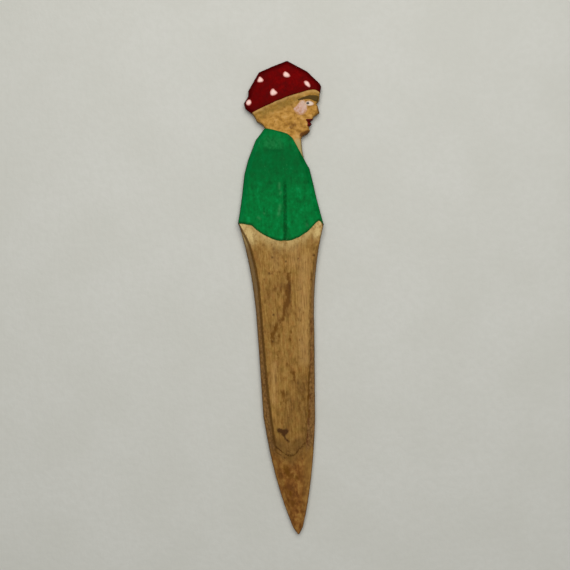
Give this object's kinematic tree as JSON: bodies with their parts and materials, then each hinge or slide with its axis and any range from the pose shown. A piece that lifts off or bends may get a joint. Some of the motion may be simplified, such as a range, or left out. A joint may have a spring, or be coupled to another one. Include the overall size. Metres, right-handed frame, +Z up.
{
  "type": "craft stick puppet",
  "caption": "Flat whittled wooden stick figure in profile, with a painted dotted cap and tunic, on a long pointed blade with bevelled margins.",
  "frame": {"origin": "middle of the plan outline, on the surface the board lies on", "axes": "+Y along the board from the point of the blade to the cap, +X the way the face looks, +Z up through the board out of its upper face"},
  "size_m": [0.0362, 0.19, 0.005],
  "materials": {
    "bare_wood": "bare, handled, slightly polished",
    "red_paint": "satin",
    "white_paint": "satin",
    "green_paint": "satin",
    "pink_paint": "matt",
    "eye_white_paint": "satin",
    "black_paint": "satin",
    "brown_paint": "matt",
    "lip_paint": "satin"
  },
  "bodies": {
    "root": {"carved_stick": "bare_wood", "cap_paint": "red_paint", "cap_dots": "white_paint", "tunic_paint": "green_paint", "cheek_paint": "pink_paint", "eye_whites": "eye_white_paint", "eye_pupils": "black_paint", "eyebrow_paint": "brown_paint", "lip_paint": "lip_paint"}
  },
  "joints": []
}
